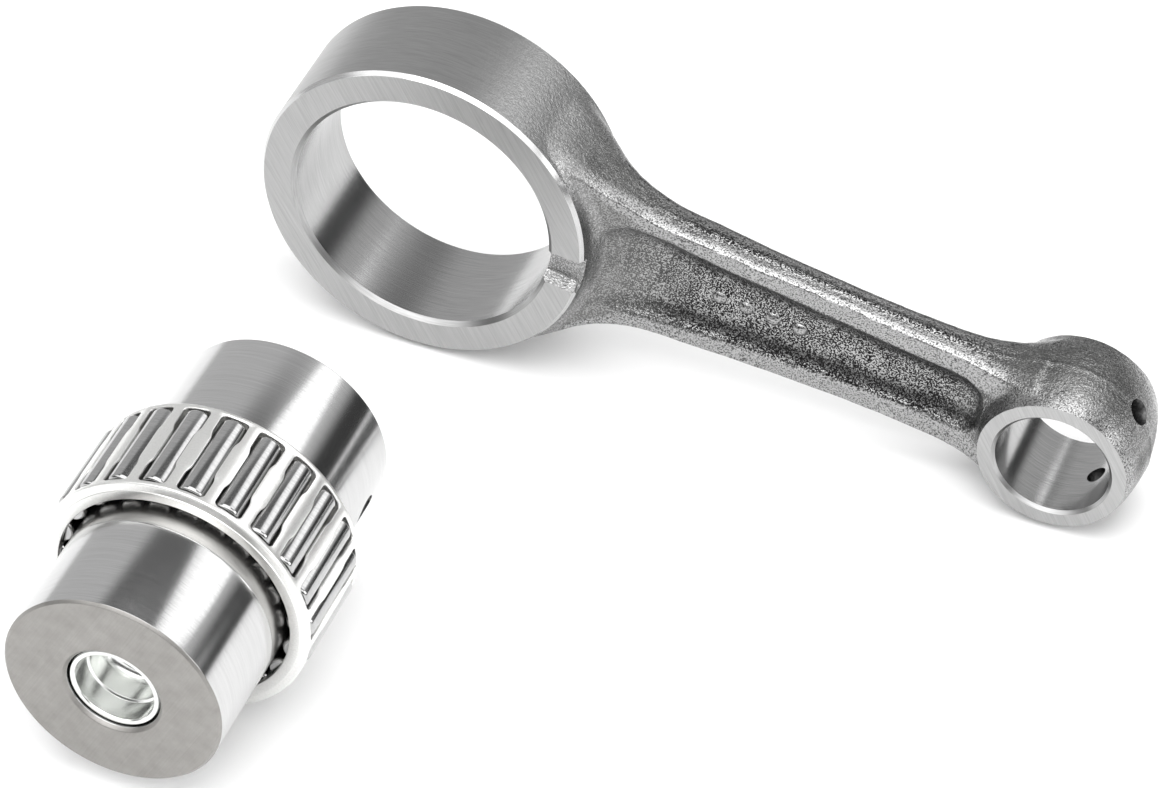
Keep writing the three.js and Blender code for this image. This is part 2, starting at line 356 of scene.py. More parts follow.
MARK_STATIONS = (47.0, 51.4, 55.8, 60.2)
MARK_RADIUS = 1.25
MARK_FLATNESS = 1.6


def eye_field(x, y, z):
    """Distance to the big eye's blank, a little wider than its finished faces."""
    radius = np.hypot(x, z)
    rim = smooth_overlap(radius - BIG_EYE, y - BIG_HALF_WIDTH - FACE_STOCK, 0.6)
    return np.maximum(rim, BIG_BORE - BORE_STOCK - radius)


def boss_field(x, y, z):
    """Distance to the small eye's crowned blank."""
    radius = np.hypot(x - CENTRE_DISTANCE, z)
    crown = SMALL_CROWN - (SMALL_CROWN - SMALL_FACE) * (y / SMALL_HALF_WIDTH) ** 2
    rim = smooth_overlap(radius - crown, y - SMALL_HALF_WIDTH - FACE_STOCK, 0.4)
    return np.maximum(rim, SMALL_BORE - BORE_STOCK - radius)


def beam_field(x, y, z):
    """Distance to the beam before its pockets: a bar with crowned sides that flares into both eyes."""
    half_thickness = through(x, BEAM_HALF_THICKNESS)
    crown = SIDE_CROWN * half_thickness * np.minimum(y / half_thickness, 1.2) ** 5
    half_height = through(x, BEAM_HALF_HEIGHT) - crown
    over_y = y - half_thickness + FLANGE_CORNER
    over_z = z - half_height + FLANGE_CORNER
    outside = np.hypot(np.maximum(over_y, 0), np.maximum(over_z, 0))
    section = outside + np.minimum(np.maximum(over_y, over_z), 0) - FLANGE_CORNER
    return np.maximum(section, np.maximum(BEAM_START - x, x - CENTRE_DISTANCE + BEAM_END_OVERLAP))


def pocket_field(x, y, z):
    """Distance to the pocket in one side of the beam. Its floor rises to meet the big eye."""
    height = through(x, POCKET_HALF_HEIGHT)
    over_x = POCKET_START + POCKET_CORNER - x
    over_z = z - height + POCKET_CORNER
    corner = np.hypot(np.maximum(over_x, 0), np.maximum(over_z, 0))
    wide_end = corner + np.minimum(np.maximum(over_x, over_z), 0) - POCKET_CORNER
    end_radius = POCKET_HALF_HEIGHT[-1][1]
    end_x = POCKET_END - end_radius
    narrow_end = np.where(x > end_x, np.hypot(x - end_x, z) - end_radius, z - height)
    outline = np.maximum(wide_end, narrow_end) - 0.32 + POCKET_DRAFT * (3 - y)
    rise = np.clip((40 - x) / 15, 0, 1)
    floor = WEB_HALF_THICKNESS + 3.3 * rise * rise
    return smooth_overlap(outline, floor - y, POCKET_FLOOR_ROUNDING)


def marks_field(x, y, z):
    """A row of plain raised pips on the web."""
    nearest = np.full(np.shape(x), FAR_AWAY)
    for station in MARK_STATIONS:
        height = (y - WEB_HALF_THICKNESS) * MARK_FLATNESS
        flat = np.sqrt((x - station) ** 2 + z**2 + height**2) - MARK_RADIUS
        nearest = np.minimum(nearest, flat)
    return nearest


def forging_field(x, y, z):
    """Signed distance to the rod's forging, the same on both sides of Y = 0 and Z = 0."""
    y = np.abs(y)
    z = np.abs(z)
    body = smooth_overlap(beam_field(x, y, z), -pocket_field(x, y, z), 0.5)
    body = smooth_union(body, eye_field(x, y, z), 2.4)
    body = smooth_union(body, boss_field(x, y, z), 2.0)
    body = smooth_union(body, marks_field(x, y, z), 0.2)
    clear_of_eye = np.clip((np.hypot(x, z) - BIG_EYE - 3) / 8, 0, 1)
    return body - PARTING_RIDGE * clear_of_eye * np.exp(-((y / PARTING_RIDGE_WIDTH) ** 2))


def forging():
    """The rod's forging as a mesh: the field's zero surface, with a shot-blasted relief."""
    low = np.array([-BIG_EYE - 1.5, 0, 0])
    high = np.array([CENTRE_DISTANCE + SMALL_CROWN + 1.5, BIG_HALF_WIDTH + 1.5, BIG_EYE + 1.5])
    counts = np.ceil((high - low) / VOXEL).astype(int)
    axes = [low[axis] + VOXEL * np.arange(counts[axis]) for axis in range(3)]
    quarter = forging_field(*np.meshgrid(*axes, indexing="ij"))
    half = np.concatenate([quarter[:, :0:-1], quarter], axis=1)
    whole = np.concatenate([half[:, :, :0:-1], half], axis=2).astype(np.float32)
    grid = openvdb.FloatGrid(3 * VOXEL)
    grid.copyFromArray(np.clip(whole, -3 * VOXEL, 3 * VOXEL))
    points, quads = grid.convertToQuads(0)
    offset = np.array([low[0], -VOXEL * (counts[1] - 1), -VOXEL * (counts[2] - 1)])
    points = points.astype(float) * VOXEL + offset
    for _ in range(3):
        distance, slope = field_slope(points)
        points -= slope * distance[:, None]
    _, slope = field_slope(points)
    points += slope * blast_relief(points)[:, None]
    piece = mesh_object("forged_rod", points, quads)
    face_outwards(piece)
    return piece


def field_slope(points):
    """The forging's field at each point, and its unit slope."""
    small = 0.02
    distance = forging_field(*points.T)
    slope = np.empty_like(points)
    for axis in range(3):
        moved = points.copy()
        moved[:, axis] += small
        slope[:, axis] = (forging_field(*moved.T) - distance) / small
    steepness = np.linalg.norm(slope, axis=1)[:, None]
    return distance / np.maximum(steepness[:, 0], 0.2), slope / np.maximum(steepness, 1e-6)


def blast_relief(points):
    """Height of the forged skin, mm: slow waves and small dents. The big eye's turned outside is smooth."""
    waves = 0.045 * value_noise(points, 4.5, 1) + 0.03 * value_noise(points, 1.9, 2)
    dents = 0.022 * value_noise(points, 0.8, 3)
    rough = np.clip((np.hypot(points[:, 0], points[:, 2]) - BIG_EYE - 0.3) / 2.5, 0, 1)
    return rough * (waves + dents)


# ---- Machining the rod -----------------------------------------------------


def face_cutter(radius, half_width, chamfer, reach, side):
    """Takes an eye's face down to half_width and breaks its outer edge, deeper along Y than across."""
    steep = 1.4
    profile = [
        (0, side * half_width),
        (radius - chamfer, side * half_width),
        (radius + 0.4, side * (half_width - steep * (chamfer + 0.4))),
        (radius + 0.4 + reach, side * (half_width - steep * (chamfer + 0.4))),
        (radius + 0.4 + reach, side * (half_width + 3)),
        (0, side * (half_width + 3)),
    ]
    return turned("face_cutter", profile, ROUND_SIDES, closed=False)


def bore_cutter(radius, half_width, chamfer):
    """Bores an eye and breaks both of its edges."""
    profile = [
        (0, -half_width - 2),
        (radius + chamfer + 2, -half_width - 2),
        (radius, -half_width + chamfer),
        (radius, half_width - chamfer),
        (radius + chamfer + 2, half_width + 2),
        (0, half_width + 2),
    ]
    return turned("bore_cutter", profile, ROUND_SIDES, closed=False)


def slot_cutter(side):
    """The oil slot across a thrust face: flat-floored, its walls rounding away where they leave the eye."""
    start = BIG_BORE - BORE_STOCK
    end = BIG_EYE + 3.5
    vertices = []
    for step in range(SLOT_STEPS + 1):
        x = start + (end - start) * step / SLOT_STEPS
        past = min(max(x - BIG_EYE + SLOT_ROUNDING, 0), SLOT_ROUNDING)
        flare = SLOT_ROUNDING - math.sqrt(SLOT_ROUNDING**2 - past**2)
        wander = 0.07 * math.sin(x * 2.3) + 0.04 * math.sin(x * 5.1 + 1)
        half = SLOT_HALF_WIDTH + 0.04 * (x - start) + flare
        floor = half - 0.8
        top = half + 0.4
        section = softened([(top, -1, 0), (floor, SLOT_DEPTH, 0.5), (-floor, SLOT_DEPTH, 0.5), (-top, -1, 0)])
        vertices += [(x, side * (BIG_HALF_WIDTH - depth), z + wander) for z, depth in section]
    ring = len(section)
    last = SLOT_STEPS * ring
    faces = [list(range(ring)), list(range(last, last + ring))[::-1]]
    for step in range(SLOT_STEPS):
        for point in range(ring):
            after = (point + 1) % ring
            near = step * ring
            far = near + ring
            faces.append([near + point, far + point, far + after, near + after])
    cutter = mesh_object("slot_cutter", vertices, faces)
    face_outwards(cutter)
    return cutter


def small_end_cutters():
    """The small eye's face cuts, bore and two oil holes."""
    cutters = [face_cutter(SMALL_FACE + 4, SMALL_HALF_WIDTH, 0, 2, side) for side in (-1, 1)]
    cutters.append(bore_cutter(SMALL_BORE, SMALL_HALF_WIDTH, EDGE_CHAMFER))
    for side in (-1, 1):
        direction = Vector((math.cos(OIL_HOLE_ANGLE), 0, side * math.sin(OIL_HOLE_ANGLE)))
        widening = OIL_HOLE_MOUTH - OIL_HOLE
        outer_end = direction * (SMALL_CROWN + CUTTER_OVERRUN)
        cutters.append(drill(OIL_HOLE, direction * 5, outer_end, widening, OIL_HOLE_MOUTH_DEPTH))
    for cutter in cutters:
        cutter.data.transform(Matrix.Translation((CENTRE_DISTANCE, 0, 0)))
    return cutters


FORGED, GROUND, HONED, OUTER_EDGE, BORE_EDGE, DRILLED = range(6)


def rod_finish_index(points, normals):
    """Which finish each face has, as its place in the rod's list of materials."""
    across = np.abs(points[:, 1])
    level = np.abs(normals[:, 1]) > 0.99
    big = np.hypot(points[:, 0], points[:, 2])
    small = np.hypot(points[:, 0] - CENTRE_DISTANCE, points[:, 2])
    index = np.full(len(points), FORGED)
    index[level & (big < BIG_EYE) & (np.abs(across - BIG_HALF_WIDTH) < 0.03)] = GROUND
    index[level & (small < SMALL_CROWN) & (np.abs(across - SMALL_HALF_WIDTH) < 0.03)] = GROUND
    upright = np.abs(normals[:, 1]) < 0.05
    index[upright & (np.abs(big - BIG_BORE) < 0.06)] = HONED
    index[upright & (np.abs(small - SMALL_BORE) < 0.06)] = HONED
    slanted = (np.abs(normals[:, 1]) > 0.45) & (np.abs(normals[:, 1]) < 0.8)
    near_big_face = across > BIG_HALF_WIDTH - 2 * EDGE_CHAMFER
    at_rim = (big > BIG_EYE - EDGE_CHAMFER - 0.02) & (big < BIG_EYE + 0.05)
    index[slanted & near_big_face & at_rim] = OUTER_EDGE
    index[slanted & near_big_face & (big < BIG_BORE + BORE_CHAMFER + 0.02)] = BORE_EDGE
    near_small_face = across > SMALL_HALF_WIDTH - EDGE_CHAMFER - 0.02
    index[slanted & near_small_face & (small < SMALL_BORE + EDGE_CHAMFER + 0.02)] = BORE_EDGE
    for side in (-1, 1):
        way = np.array([math.cos(OIL_HOLE_ANGLE), 0, side * math.sin(OIL_HOLE_ANGLE)])
        arm = points - [CENTRE_DISTANCE, 0, 0]
        off_axis = np.linalg.norm(arm - np.outer(arm @ way, way), axis=1)
        ahead = arm @ way > 0
        wall = (off_axis < OIL_HOLE_MOUTH + 0.1) & (np.abs(normals @ way) < 0.8)
        index[ahead & wall & (small < SMALL_CROWN)] = DRILLED
    return index


def assign_finishes(mesh, finishes, choose):
    """Gives each face the finish that choose picks from its centre and normal."""
    centres = np.empty(len(mesh.polygons) * 3, np.float32)
    normals = np.empty(len(mesh.polygons) * 3, np.float32)
    mesh.polygons.foreach_get("center", centres)
    mesh.polygons.foreach_get("normal", normals)
    mesh.materials.clear()
    for finish in finishes:
        mesh.materials.append(finish)
    index = choose(centres.reshape(-1, 3), normals.reshape(-1, 3))
    mesh.polygons.foreach_set("material_index", index.astype(np.int32))
    mesh.update()


def worn_share(points):
    """How smooth and bright the skin is: fully on the flanges' lands, and not at all in the pockets."""
    x = points[:, 0]
    across = np.abs(points[:, 1])
    height = np.abs(points[:, 2])
    on_land = np.clip((across - through(x, BEAM_HALF_THICKNESS) + 2.5) / 1.0, 0, 1)
    outside_pocket = np.clip((height - through(x, POCKET_HALF_HEIGHT) + 0.9) / 0.6, 0, 1)
    on_shoulder = np.clip((height - through(x, BEAM_HALF_HEIGHT) + 2.6) / 1.2, 0, 1)
    start = 30 - 9 * on_shoulder
    along_beam = np.clip((x - start) / 6, 0, 1) * np.clip((98 - x) / 5, 0, 1)
    on_boss = np.hypot(x - CENTRE_DISTANCE, height) < SMALL_CROWN + 1
    crown = on_boss * np.clip((across - 4.2) / 3, 0, 1) * 0.8
    on_mark = np.full(len(x), FAR_AWAY)
    for station in MARK_STATIONS:
        on_mark = np.minimum(on_mark, np.hypot(x - station, height))
    mark = (on_mark < MARK_RADIUS) & (across > WEB_HALF_THICKNESS + 0.18)
    in_slot = (x > 0) & (np.hypot(x, height) < BIG_EYE - 0.3) & (height > SLOT_HALF_WIDTH - 0.3)
    return np.maximum.reduce([on_land * outside_pocket * along_beam, crown, mark * 1.0, in_slot * 1.0])


def painted_pocket_shade_share(points):
    """How far each point lies in the rounded corner of a pocket, where the colour carries painted shade."""
    x = points[:, 0]
    inside = through(x, POCKET_HALF_HEIGHT) - np.abs(points[:, 2])
    below_land = through(x, BEAM_HALF_THICKNESS) - np.abs(points[:, 1])
    along = np.clip((x - 34) / 8, 0, 1)
    return np.exp(-(((inside - 2.4) / 1.5) ** 2)) * np.clip(below_land / 0.6, 0, 1) * along


def make_rod(finishes):
    rod = forging()
    cutters = [face_cutter(BIG_EYE, BIG_HALF_WIDTH, EDGE_CHAMFER, 1.2, side) for side in (-1, 1)]
    cutters.append(bore_cutter(BIG_BORE, BIG_HALF_WIDTH, BORE_CHAMFER))
    cutters += [slot_cutter(side) for side in (-1, 1)]
    cutters += small_end_cutters()
    cut_away(rod, cutters)
    assign_finishes(rod.data, finishes, rod_finish_index)
    points = vertex_array(rod.data)
    store_values(rod.data, "worn", worn_share(points))
    # Painted shade: a mask that darkens the colour in the pockets' rounded corners.
    store_values(rod.data, "painted_pocket_shade", painted_pocket_shade_share(points))
    return place(rod, ROD_PLACE, "rod", "connecting_rod", 32)


# ---- Crank pin, plugs, rollers ---------------------------------------------


def pin_finish_index(points, normals):
    """0 polished cylinder, 1 stained end face, 2 its broken edges, 3 bore, 4 drilled."""
    radius = np.hypot(points[:, 0], points[:, 2])
    index = np.zeros(len(points), int)
    outward = np.abs(points[:, 0] * normals[:, 0] + points[:, 2] * normals[:, 2]) / np.maximum(radius, 1)
    index[(outward < 0.9) & (radius > PIN_BORE + 0.1)] = 4
    index[(np.abs(normals[:, 1]) > 0.3) & (np.abs(points[:, 1]) > PIN_HALF_LENGTH - 1.2)] = 2
    index[np.abs(normals[:, 1]) > 0.99] = 1
    index[radius < PIN_BORE + 0.1] = 3
    return index


def make_pin(finishes):
    end = PIN_HALF_LENGTH - 0.03
    half = [
        (PIN_BORE, end - 0.6, 0.2),
        (PIN_BORE + 0.5, end, 0.25),
        (PIN_RADIUS - 0.4, end, 0.12),
        (PIN_RADIUS, end - 0.4, 0.12),
    ]
    mirrored = [(radius, -y, rounding) for radius, y, rounding in reversed(half)]
    pin = turned("pin_body", softened(half + mirrored), ROUND_SIDES, closed=True)
    feed_way = Vector((math.cos(FEED_HOLE_ANGLE), 0, math.sin(FEED_HOLE_ANGLE)))
    feed = drill(FEED_HOLE, feed_way * 4, feed_way * (PIN_RADIUS + 2.7), 0.4, 0.4)
    feed.data.transform(Matrix.Translation((0, FEED_HOLE_FROM_MIDDLE, 0)))
    outlet = drill(OUTLET_HOLE, (0, 0, 4), (0, 0, PIN_RADIUS + 2.7), 0.3, 0.3)
    cut_away(pin, [feed, outlet])
    assign_finishes(pin.data, finishes, pin_finish_index)
    return place(pin, PIN_PLACE, "pin", "crank_pin", 30)


def make_plug(name, side, finish, replaced):
    """A pressed cup with its open end outwards: a thick lip, a step, and a dished floor."""
    inner = PLUG_RADIUS - PLUG_WALL
    floor = PLUG_LENGTH - PLUG_WALL
    corners = [
        (0, floor, 0),
        (inner - 0.45, floor, 1.6),
        (inner - 0.45, 3.75, 0.08),
        (inner - 0.05, 3.55, 0.08),
        (inner, 0.2, 0.1),
        (inner + 0.15, 0, 0.08),
        (PLUG_RADIUS - 0.15, 0, 0.06),
        (PLUG_RADIUS, 0.2, 0.06),
        (PLUG_RADIUS, PLUG_LENGTH - 0.9, 0.5),
        (PLUG_RADIUS - 0.9, PLUG_LENGTH, 0.4),
        (0, PLUG_LENGTH, 0),
    ]
    plug = turned(name, softened(corners), PLUG_SIDES, closed=False)
    move = Matrix.Translation((0, -PIN_HALF_LENGTH + PLUG_RECESS, 0))
    turn = Matrix.Rotation(0 if side < 0 else math.pi, 4, "X")
    plug.data.transform(turn @ move)
    plug.data.materials.append(finish)
    return place(plug, PIN_PLACE, "pin", replaced, 35)


def roller_angle(index):
    return FIRST_ROLLER_ANGLE + 2 * math.pi * index / ROLLERS


def make_roller(index, finish):
    """A roller with a flat middle to each end and a round edge."""
    half = ROLLER_HALF_LENGTH
    corners = [(0, -half, 0), (ROLLER_RADIUS, -half, 0.55), (ROLLER_RADIUS, half, 0.55), (0, half, 0)]
    number = f"{index + 1:02d}"
    piece = turned("bearing_roller_" + number, softened(corners, 6), ROLLER_SIDES, closed=False)
    angle = roller_angle(index)
    middle = Vector((ROLLER_PITCH * math.cos(angle), 0, ROLLER_PITCH * math.sin(angle)))
    piece.data.materials.append(finish)
    node = "roller_" + number
    return place(piece, PIN_PLACE @ Matrix.Translation(middle), node, node, 40)


# ---- Bearing cage ----------------------------------------------------------

WINDOW_HALF_LENGTH = 7.95
WINDOW_CORNER = 0.75
LIP_DEPTH = 0.4
BREAK = 0.16
# Each rim from its outside to its inside, as (radius, drop below the cage's half width).
RIM_PROFILE = [
    (20.66, 0.42), (20.54, 0.33), (20.3, 0.27), (19.46, 0.14), (19.4, 0.0), (18.06, 0.0), (17.91, 0.07),
]
OUTER_RIM_DROP = 0.55
INNER_RIM_DROP = 0.22
WINDOW_WIDE = 2.1
WINDOW_WAIST = 0.38
OUTLINE_SIDE_STEPS = 44
OUTLINE_END_STEPS = 6
WELD_DISTANCE = 0.002


def window_half_width(y, waist):
    """Half the width of a window at y: wide towards its ends, narrow in the middle, with round corners."""
    share = abs(y) / WINDOW_HALF_LENGTH
    narrow = WINDOW_WIDE - waist
    step = min(max((share - 0.36) / 0.22, 0), 1)
    half = narrow + (WINDOW_WIDE - narrow) * step * step * (3 - 2 * step)
    into_corner = abs(y) - WINDOW_HALF_LENGTH + WINDOW_CORNER
    if into_corner > 0:
        half -= WINDOW_CORNER - math.sqrt(max(WINDOW_CORNER**2 - into_corner**2, 0))
    return half


def closed_outline(right):
    """Carries a right side, from bottom to top, on round the top, the left and the bottom."""
    corner, height = right[-1]
    ends = range(1, OUTLINE_END_STEPS)
    top = [(corner - 2 * corner * step / OUTLINE_END_STEPS, height) for step in ends]
    left = [(-x, y) for x, y in reversed(right)]
    bottom = [(-x, -y) for x, y in top]
    return np.array(right + top + left + bottom)


def side_heights(half):
    """Heights of a side's points, closest together near both ends."""
    return [-half * math.cos(math.pi * step / OUTLINE_SIDE_STEPS) for step in range(OUTLINE_SIDE_STEPS + 1)]


def window_outline(waist, grow):
    """Points (sideways, y) around a window, grown outwards by grow."""
    outline = closed_outline([(window_half_width(y, waist), y) for y in side_heights(WINDOW_HALF_LENGTH)])
    ahead = np.roll(outline, -1, axis=0) - np.roll(outline, 1, axis=0)
    outward = np.stack([ahead[:, 1], -ahead[:, 0]], axis=1)
    outward /= np.linalg.norm(outward, axis=1)[:, None]
    return outline + outward * grow


def sector_outline():
    """The sector's border, a point for each of a window's, in shares of its half angle and half width."""
    return closed_outline([(1.0, y) for y in side_heights(1.0)])


def make_cage(finish):
    """One sector of the cage, from its outside through the window to its inside, repeated about the axis."""
    half_angle = math.pi / ROLLERS
    border = sector_outline()
    count = len(border)

    def ring_at(radius, outline):
        return np.column_stack([outline[:, 0] / radius, outline[:, 1], np.full(count, radius)])

    def border_at(radius, half_width):
        angles = border[:, 0] * half_angle
        return np.column_stack([angles, border[:, 1] * half_width, np.full(count, radius)])

    lip = CAGE_OUTER - LIP_DEPTH
    layers = [
        border_at(CAGE_OUTER, CAGE_HALF_WIDTH - OUTER_RIM_DROP),
        ring_at(CAGE_OUTER, window_outline(WINDOW_WAIST, BREAK)),
        ring_at(CAGE_OUTER - 0.05, window_outline(WINDOW_WAIST, 0.05)),
        ring_at(CAGE_OUTER - BREAK, window_outline(WINDOW_WAIST, 0)),
        ring_at(lip, window_outline(WINDOW_WAIST, 0)),
        ring_at(lip - 0.35, window_outline(0.0, 0.22)),
        ring_at(CAGE_INNER + BREAK, window_outline(0.0, 0.22)),
        ring_at(CAGE_INNER, window_outline(0.0, 0.3)),
        border_at(CAGE_INNER, CAGE_HALF_WIDTH - INNER_RIM_DROP),
    ]
    faces = []
    for layer in range(len(layers) - 1):
        for point in range(count):
            after = (point + 1) % count
            near = layer * count
            far = near + count
            faces.append([near + point, near + after, far + after, far + point])
    sector = np.concatenate(layers)
    vertices, faces = add_rims(sector, faces, count, len(layers))
    return repeat_sector(vertices, faces, finish)


def add_rims(sector, faces, count, layers):
    """Closes the sector's two rims, from its outside border to its inside one, along RIM_PROFILE."""
    outer = list(range(count))
    inner = list(range((layers - 1) * count, layers * count))
    top = list(range(OUTLINE_SIDE_STEPS, OUTLINE_SIDE_STEPS + OUTLINE_END_STEPS + 1))
    bottom = [index % count for index in range(count - OUTLINE_END_STEPS, count + 1)]
    vertices = [tuple(row) for row in sector]
    for run, sign in ((top, 1), (bottom, -1)):
        rows = [[outer[index] for index in run]]
        for radius, drop in RIM_PROFILE:
            rows.append(list(range(len(vertices), len(vertices) + len(run))))
            vertices += [(sector[index][0], sign * (CAGE_HALF_WIDTH - drop), radius) for index in run]
        rows.append([inner[index] for index in run])
        for near, far in zip(rows, rows[1:]):
            for step in range(len(run) - 1):
                faces.append([near[step], far[step], far[step + 1], near[step + 1]])
    return vertices, faces


def repeat_sector(vertices, faces, finish):
    sector = np.array(vertices)
    points = []
    all_faces = []
    for index in range(ROLLERS):
        angle = roller_angle(index) + sector[:, 0]
        radius = sector[:, 2]
        points.append(np.column_stack([radius * np.cos(angle), sector[:, 1], radius * np.sin(angle)]))
        start = index * len(sector)
        all_faces += [[start + corner for corner in face] for face in faces]
    cage = mesh_object("cage_ring", np.concatenate(points), all_faces)
    weld(cage, WELD_DISTANCE)
    face_outwards(cage)
    cage.data.materials.append(finish)
    return place(cage, PIN_PLACE, "cage", "bearing_cage", 42)


def weld(piece, distance):
    """Merges points closer together than distance."""
    step = piece.modifiers.new("weld", "WELD")
    step.merge_threshold = distance
    apply_modifiers(piece)


# ---- Materials -------------------------------------------------------------


def maths_node(tree, operation, first, second):
    """A maths node whose inputs are numbers or other nodes' outputs."""
    node = tree.nodes.new("ShaderNodeMath")
    node.operation = operation
    for socket, value in zip(node.inputs, (first, second)):
        if isinstance(value, (int, float)):
            socket.default_value = value
        else:
            tree.links.new(value, socket)
    return node.outputs["Value"]


class Finish:
    """A node material under construction. Coordinates are the piece's own millimetres."""

    def __init__(self, name, roughness, metallic=1.0):
        self.material = bpy.data.materials.new(name)
        self.material.use_nodes = True
        self.tree = self.material.node_tree
        self.shader = self.tree.nodes["Principled BSDF"]
        self.shader.inputs["Metallic"].default_value = metallic
        self.shader.inputs["Roughness"].default_value = roughness
        own = self.tree.nodes.new("ShaderNodeAttribute")
        own.attribute_name = "part_mm"
        self.own = own.outputs["Vector"]
        self.normal = None

    def value(self, name):
        node = self.tree.nodes.new("ShaderNodeAttribute")
        node.attribute_name = name
        return node.outputs["Fac"]

    def link(self, source, target):
        self.tree.links.new(source, target)

    def stretched(self, scale, turn=(0, 0, 0)):
        """The coordinates turned, then scaled: a larger number gives finer detail along that axis."""
        node = self.tree.nodes.new("ShaderNodeMapping")
        node.vector_type = "POINT"
        node.inputs["Scale"].default_value = scale
        turned_node = self.tree.nodes.new("ShaderNodeMapping")
        turned_node.inputs["Rotation"].default_value = turn
        self.link(self.own, turned_node.inputs["Vector"])
        self.link(turned_node.outputs["Vector"], node.inputs["Vector"])
        return node.outputs["Vector"]

    def noise(self, vector, scale, detail=3.0, roughness=0.55, distortion=0.0):
        node = self.tree.nodes.new("ShaderNodeTexNoise")
        node.inputs["Scale"].default_value = scale
        node.inputs["Detail"].default_value = detail
        node.inputs["Roughness"].default_value = roughness
        node.inputs["Distortion"].default_value = distortion
        self.link(vector, node.inputs["Vector"])
        return node.outputs["Fac"]

    def ramp(self, value, stops):
        """Maps 0..1 onto colours or greys given as (position, value) stops."""
        node = self.tree.nodes.new("ShaderNodeValToRGB")
        for number, (position, colour) in enumerate(stops):
            if number < 2:
                element = node.color_ramp.elements[number]
                element.position = position
            else:
                element = node.color_ramp.elements.new(position)
            grey = (colour, colour, colour) if isinstance(colour, (int, float)) else colour
            element.color = (*grey, 1)
        self.link(value, node.inputs["Fac"])
        return node.outputs["Color"]

    def maths(self, operation, first, second):
        return maths_node(self.tree, operation, first, second)

    def mix(self, share, first, second, blend_type="MIX"):
        node = self.tree.nodes.new("ShaderNodeMix")
        node.data_type = "RGBA"
        node.blend_type = blend_type
        if isinstance(share, (int, float)):
            node.inputs["Factor"].default_value = share
        else:
            self.link(share, node.inputs["Factor"])
        for socket, value in zip((node.inputs[6], node.inputs[7]), (first, second)):
            if isinstance(value, tuple):
                socket.default_value = (*value, 1)
            else:
                self.link(value, socket)
        return node.outputs[2]

    def split(self):
        node = self.tree.nodes.new("ShaderNodeSeparateXYZ")
        self.link(self.own, node.inputs["Vector"])
        return node.outputs["X"], node.outputs["Y"], node.outputs["Z"]

    def bump(self, height, depth_mm, strength=1.0):
        """Adds relief of about depth_mm on top of any already there."""
        node = self.tree.nodes.new("ShaderNodeBump")
        node.inputs["Strength"].default_value = strength
        node.inputs["Distance"].default_value = depth_mm * MM
        self.link(height, node.inputs["Height"])
        if self.normal is not None:
            self.link(self.normal, node.inputs["Normal"])
        self.normal = node.outputs["Normal"]

    def done(self, colour=None, roughness=None):
        if colour is not None:
            self.link(colour, self.shader.inputs["Base Color"])
        if roughness is not None:
            self.link(roughness, self.shader.inputs["Roughness"])
        if self.normal is not None:
            self.link(self.normal, self.shader.inputs["Normal"])
        return self.material


def forged_finish():
    """Shot-blasted forging with bright and dark specks, and painted shade darkening the pockets' rounded
    corners. The big eye's outside is satin away from the beam.
    """
    finish = Finish("forged_skin", 0.35)
    x, _, z = finish.split()
    squared = finish.maths("ADD", finish.maths("MULTIPLY", x, x), finish.maths("MULTIPLY", z, z))
    radius = finish.maths("SQRT", squared, 0)
    past_eye = finish.maths("SUBTRACT", radius, BIG_EYE)
    off_eye = finish.ramp(finish.maths("DIVIDE", past_eye, 4.0), [(0.02, 0.0), (0.5, 1.0)])
    by_beam = finish.ramp(finish.maths("DIVIDE", x, BIG_EYE), [(0.0, 0.0), (0.75, 1.0)])
    rough_share = finish.maths("MAXIMUM", off_eye, finish.maths("MULTIPLY", by_beam, 0.8))

    worn = finish.value("worn")
    grain = finish.noise(finish.own, 3.7, 1.6, 0.6)
    pits = finish.noise(finish.own, 1.3, 3.0, 0.65)
    slow = finish.noise(finish.own, 0.16, 3.0, 0.5)
    patches = finish.noise(finish.own, 0.45, 2.0, 0.5)
    clustering = finish.maths("MULTIPLY", finish.maths("SUBTRACT", patches, 0.5), 0.16)
    clustered = finish.maths("ADD", grain, clustering)
    speck = finish.ramp(clustered, [(0.43, 0.01), (0.5, 0.06), (0.57, 0.46)])
    tone = finish.ramp(slow, [(0.3, (0.165, 0.165, 0.163)), (0.7, (0.24, 0.24, 0.237))])
    into_beam = finish.ramp(finish.maths("DIVIDE", x, 60.0), [(0.5, 0.3), (0.74, 1.0)])
    off_boss = finish.ramp(finish.maths("DIVIDE", x, 100.0), [(0.84, 1.0), (0.93, 0.35)])
    peened = finish.mix(finish.maths("MULTIPLY", into_beam, off_boss), tone, speck)
    tumbled = finish.ramp(grain, [(0.38, 0.08), (0.46, 0.29), (0.6, 0.42)])
    # Painted shade: the pockets' rounded corners are darkened towards near-black.
    shaded = finish.mix(finish.maths("MULTIPLY", finish.value("painted_pocket_shade"), 0.7), peened, (0.02, 0.02, 0.02))
    forged_colour = finish.mix(worn, shaded, tumbled)
    on_eye = finish.mix(0.6, tone, finish.ramp(grain, [(0.4, 0.2), (0.5, 0.36), (0.6, 0.6)]))
    forged_colour = finish.mix(off_eye, on_eye, forged_colour)
    turning = finish.noise(finish.stretched((0.25, 6.0, 0.25)), 1.0, 3.0)
    satin = finish.ramp(turning, [(0.3, 0.32), (0.7, 0.41)])
    colour = finish.mix(rough_share, satin, forged_colour)
    facets = finish.mix(worn, finish.ramp(grain, [(0.35, 0.38), (0.65, 0.2)]), (0.26, 0.26, 0.26))
    roughness = finish.mix(rough_share, (0.36, 0.36, 0.36), facets)

    relief = finish.maths("ADD", finish.maths("MULTIPLY", grain, 0.6), finish.maths("MULTIPLY", pits, 1.0))
    unworn = finish.maths("SUBTRACT", 1.0, finish.maths("MULTIPLY", worn, 0.65))
    depth = finish.maths("MULTIPLY", finish.maths("MAXIMUM", rough_share, 0.04), unworn)
    finish.bump(finish.maths("MULTIPLY", relief, depth), 0.17)
    return finish.done(colour, roughness)


